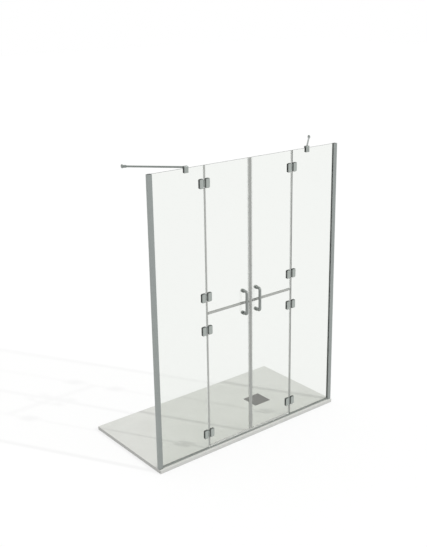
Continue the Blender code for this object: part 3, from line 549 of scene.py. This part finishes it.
def screws_of(nodes):
    """A mesh of the screws on the back plates of the given hinge halves."""
    shape = bmesh.new()
    for node_name in nodes:
        low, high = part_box(node_name)
        is_left = high.x < 0
        is_door = node_name.startswith("hinge_door")
        if is_left == is_door:
            across = high.x - SCREW_FROM_EDGE
        else:
            across = low.x + SCREW_FROM_EDGE
        for step in (-1, 1):
            height = (low.z + high.z) / 2 + step * SCREW_SPREAD / 2
            add_screw(shape, Matrix.Translation((across, high.y, height)) @ FACING_BACK)
    return shape


def add_clamp_screws():
    """A screw in the back of each stay clamp, where the clamp grips the glass."""
    shape = bmesh.new()
    for side_name in SIDES:
        low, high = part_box("stay_clamp_" + side_name)
        place = ((low.x + high.x) / 2, high.y, low.z + CLAMP_SCREW_HEIGHT)
        add_screw(shape, Matrix.Translation(place) @ FACING_BACK)
    fitting("clamp_screws", shape, SCREW_METAL, "frame")


def add_screws():
    """Screws on every hinge half, one piece for each body."""
    owners = {}
    for node_name in NODES:
        if node_name.startswith("hinge_fixed"):
            owners.setdefault("frame", []).append(node_name)
        if node_name.startswith("hinge_door"):
            side = "left" if "_left_" in node_name else "right"
            level = "upper" if node_name.endswith(("top", "above_split")) else "lower"
            owners.setdefault(level + "_" + side + "_leaf", []).append(node_name)
    for body, nodes in owners.items():
        fitting("hinge_screws_" + body, screws_of(nodes), SCREW_METAL, body)


def add_beads():
    """A quarter round of rubber along each side of the glass, at the wall profiles."""
    for side_name, side in SIDES.items():
        low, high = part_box("wall_profile_" + side_name)
        mouth = high.x if side < 0 else low.x
        for face_name, face, start in (("front", -1, GLASS_FRONT), ("back", 1, GLASS_BACK)):
            shape = bmesh.new()
            corner = (mouth - side * BEAD_CLEARANCE, start + face * BEAD_CLEARANCE)
            section = [corner]
            for step in range(BEAD_STEPS + 1):
                angle = math.pi / 2 * step / BEAD_STEPS
                across = corner[0] - side * BEAD_SIZE * math.cos(angle)
                deep = corner[1] + face * BEAD_SIZE * math.sin(angle)
                section.append((across, deep))
            bottom = [shape.verts.new((x, y, low.z)) for x, y in section]
            top = [shape.verts.new((x, y, high.z)) for x, y in section]
            skin(shape, bottom, top)
            shape.faces.new(reversed(bottom))
            shape.faces.new(top)
            name = "glazing_bead_" + side_name + "_" + face_name
            fitting(name, shape, BEAD_RUBBER, "frame")


# Round pieces with a smooth surface, which stand for their faceted solids

def ring_along(shape, centre, direction, across, radius):
    """Points round a path at one of its points, where across is at right angles to the path."""
    other = direction.cross(across)
    points = []
    for step in range(ROUND_SIDES):
        angle = math.tau * step / ROUND_SIDES
        offset = across * math.cos(angle) + other * math.sin(angle)
        points.append(shape.verts.new(centre + offset * radius))
    return points


def add_round(shape, stations, across):
    """A closed round form through stations, each a centre, a direction and a radius."""
    rings = []
    for centre, direction, radius in stations:
        rings.append(ring_along(shape, centre, direction, across, radius))
    for first, second in zip(rings, rings[1:]):
        skin(shape, first, second)
    shape.faces.new(reversed(rings[0]))
    shape.faces.new(rings[-1])
    return rings


def rounded_end(end, inward, radius, bevel):
    """Stations of a rounded edge, from the flat end inwards."""
    stations = []
    for step in range(EDGE_STEPS + 1):
        angle = math.pi / 2 * step / EDGE_STEPS
        centre = end + inward * bevel * (1 - math.cos(angle))
        stations.append((centre, inward, radius - bevel * (1 - math.sin(angle))))
    return stations


def backwards(stations):
    """The same stations from the other end."""
    return [(centre, -direction, radius) for centre, direction, radius in reversed(stations)]


def handle_shape(low, high, up):
    """Half a handle: knob, bolt and rosette on one line, then a post that bends into the bar."""
    shape = bmesh.new()
    across = Vector((1, 0, 0))
    forward = Vector((0, -1, 0))
    toward_split = Vector((0, 0, -up))
    post_z = high.z - ROSETTE_RADIUS if up > 0 else low.z + ROSETTE_RADIUS
    split_z = low.z if up > 0 else high.z
    line = Vector(((low.x + high.x) / 2, 0, post_z))
    knob_end = line + Vector((0, high.y, 0))
    knob_seat = knob_end + forward * KNOB_LENGTH
    rosette_seat = line + Vector((0, GLASS_FRONT - (knob_seat.y - GLASS_BACK), 0))
    rosette_face = rosette_seat + forward * ROSETTE_THICKNESS
    mounting = rounded_end(knob_end, forward, ROSETTE_RADIUS, KNOB_BEVEL)
    mounting.append((knob_seat, forward, ROSETTE_RADIUS))
    mounting.append((knob_seat, forward, HANDLE_BOLT_RADIUS))
    mounting.append((rosette_seat, forward, HANDLE_BOLT_RADIUS))
    mounting.append((rosette_seat, forward, ROSETTE_RADIUS))
    mounting += backwards(rounded_end(rosette_face, -forward, ROSETTE_RADIUS, ROSETTE_BEVEL))
    add_round(shape, mounting, across)

    bar_y = low.y + HANDLE_BAR_RADIUS
    grip = [(rosette_face - forward * ROSETTE_SINK, forward, HANDLE_BAR_RADIUS)]
    for step in range(BEND_STEPS + 1):
        angle = math.pi / 2 * step / BEND_STEPS
        y = bar_y + HANDLE_BEND_RADIUS * (1 - math.sin(angle))
        z = post_z - up * HANDLE_BEND_RADIUS * (1 - math.cos(angle))
        direction = forward * math.cos(angle) + toward_split * math.sin(angle)
        grip.append((Vector((line.x, y, z)), direction, HANDLE_BAR_RADIUS))
    bar_end = Vector((line.x, bar_y, split_z))
    grip += backwards(rounded_end(bar_end, -toward_split, HANDLE_BAR_RADIUS, HANDLE_END_BEVEL))
    add_round(shape, grip, across)
    return shape


def add_handles():
    """A smooth half handle in place of each faceted one."""
    for level, up in (("upper", 1), ("lower", -1)):
        for side_name in ("left", "right"):
            name = level + "_" + side_name
            low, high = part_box("handle_" + name)
            shape = handle_shape(low, high, up)
            grip = fitting("grip_" + name, shape, HANDLE_METAL, name + "_leaf")
            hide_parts("handle_" + name)


def add_stays():
    """A smooth bar and flange in place of each faceted one."""
    for side_name, side in SIDES.items():
        low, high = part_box("stay_bar_" + side_name)
        along = Vector((side * math.cos(STAY_ANGLE), math.sin(STAY_ANGLE), 0))
        tilt = STAY_BAR_RADIUS * math.sin(STAY_ANGLE)
        near_x, far_x = (low.x + tilt, high.x - tilt) if side > 0 else (high.x - tilt, low.x + tilt)
        reach = STAY_BAR_RADIUS * math.cos(STAY_ANGLE)
        level = (low.z + high.z) / 2
        start = Vector((near_x, low.y + reach, level))
        end = Vector((far_x, high.y - reach, level))
        upward = Vector((0, 0, 1))
        shape = bmesh.new()
        rod = rounded_end(start, along, STAY_BAR_RADIUS, ROD_END_BEVEL)
        rod += backwards(rounded_end(end, -along, STAY_BAR_RADIUS, ROD_END_BEVEL))
        add_round(shape, rod, upward)
        bar = fitting("stay_rod_" + side_name, shape, STAY_METAL, "frame")
        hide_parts("stay_bar_" + side_name)

        low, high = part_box("stay_flange_" + side_name)
        wall_x = high.x if side > 0 else low.x
        wall_point = end + along * ((wall_x - end.x) / along.x)
        from_wall = Vector((-side, 0, 0))
        disc_face = wall_point + from_wall * STAY_FLANGE_THICKNESS
        shape = bmesh.new()
        disc = rounded_end(disc_face, -from_wall, STAY_FLANGE_RADIUS, FLANGE_BEVEL)
        disc.append((wall_point, -from_wall, STAY_FLANGE_RADIUS))
        add_round(shape, disc, upward)
        mouth = wall_point - along * STAY_SLEEVE_LENGTH
        sleeve = rounded_end(mouth, along, STAY_SLEEVE_RADIUS, FLANGE_BEVEL)
        sleeve.append((wall_point, along, STAY_SLEEVE_RADIUS))
        rings = add_round(shape, sleeve, upward)
        inside_disc = wall_x - side * STAY_FLANGE_THICKNESS / 2
        for vertex in rings[-1]:
            vertex.co += along * ((inside_disc - vertex.co.x) / along.x)
        flange = fitting("stay_fitting_" + side_name, shape, STAY_METAL, "frame")
        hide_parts("stay_flange_" + side_name)


add_screws()
add_clamp_screws()
add_beads()
add_handles()
add_stays()


# Floor, light and camera

def make_floor():
    """A pale floor that looks white and still takes the object's shadow."""
    mesh = bpy.data.meshes.new("floor")
    shape = bmesh.new()
    bmesh.ops.create_grid(shape, x_segments=1, y_segments=1, size=FLOOR_SIZE)
    shape.to_mesh(mesh)
    shape.free()
    floor = bpy.data.objects.new("floor", mesh)
    floor.location = (0, 0, -FLOOR_DROP)
    bpy.context.scene.collection.objects.link(floor)
    material, tree, shader = new_material("floor")
    shader.inputs["Base Color"].default_value = grey(FLOOR_LEVEL)
    shader.inputs["Roughness"].default_value = FLOOR_ROUGHNESS
    shader.inputs["Specular IOR Level"].default_value = 0
    glow = tree.nodes.new("ShaderNodeEmission")
    glow.inputs["Strength"].default_value = FLOOR_GLOW
    rays = tree.nodes.new("ShaderNodeLightPath")
    seen = math_node(tree, "MAXIMUM", rays.outputs["Is Camera Ray"], rays.outputs["Is Glossy Ray"])
    seen = math_node(tree, "MAXIMUM", seen, rays.outputs["Is Transmission Ray"])
    mix = tree.nodes.new("ShaderNodeMixShader")
    tree.links.new(math_node(tree, "MULTIPLY", seen, FLOOR_GLOW_SHARE), mix.inputs["Fac"])
    tree.links.new(shader.outputs["BSDF"], mix.inputs[1])
    tree.links.new(glow.outputs["Emission"], mix.inputs[2])
    tree.links.new(mix.outputs["Shader"], tree.nodes["Material Output"].inputs["Surface"])
    mesh.materials.append(material)


def make_world():
    """White as a background, and a softer level as light."""
    world = bpy.data.worlds.new("studio")
    world.use_nodes = True
    bpy.context.scene.world = world
    tree = world.node_tree
    background = tree.nodes["Background"]
    background.inputs["Color"].default_value = WHITE
    rays = tree.nodes.new("ShaderNodeLightPath")
    seen = math_node(tree, "MAXIMUM", rays.outputs["Is Camera Ray"], rays.outputs["Is Glossy Ray"])
    seen = math_node(tree, "MAXIMUM", seen, rays.outputs["Is Transmission Ray"])
    tree.links.new(spread(tree, seen, SKY_LEVEL, 1), background.inputs["Strength"])


def make_sun():
    """The main light, from the right front and above."""
    data = bpy.data.lights.new("sun", "SUN")
    data.energy = SUN_ENERGY
    data.angle = SUN_SOFTNESS
    sun = bpy.data.objects.new("sun", data)
    bpy.context.scene.collection.objects.link(sun)
    towards = Vector((
        math.cos(SUN_ELEVATION) * math.cos(SUN_AZIMUTH),
        math.cos(SUN_ELEVATION) * math.sin(SUN_AZIMUTH),
        math.sin(SUN_ELEVATION),
    ))
    sun.rotation_euler = towards.to_track_quat("Z", "Y").to_euler()


def make_camera():
    """The camera, where the photograph was taken from."""
    data = bpy.data.cameras.new("camera")
    data.sensor_fit = "AUTO"
    data.sensor_width = CAMERA_SENSOR_WIDTH
    data.lens = CAMERA_LENS
    data.shift_x, data.shift_y = CAMERA_SHIFT
    data.clip_end = CAMERA_FAR
    camera = bpy.data.objects.new("camera", data)
    turn = Matrix.Rotation(-CAMERA_YAW, 4, "Z") @ Matrix.Rotation(math.pi / 2 - CAMERA_PITCH, 4, "X")
    turn = turn @ Matrix.Rotation(CAMERA_ROLL, 4, "Z")
    camera.matrix_world = Matrix.Translation(CAMERA_PLACE) @ turn
    bpy.context.scene.collection.objects.link(camera)
    bpy.context.scene.camera = camera


make_floor()
make_world()
make_sun()
make_camera()
bpy.context.scene.view_settings.view_transform = "Standard"
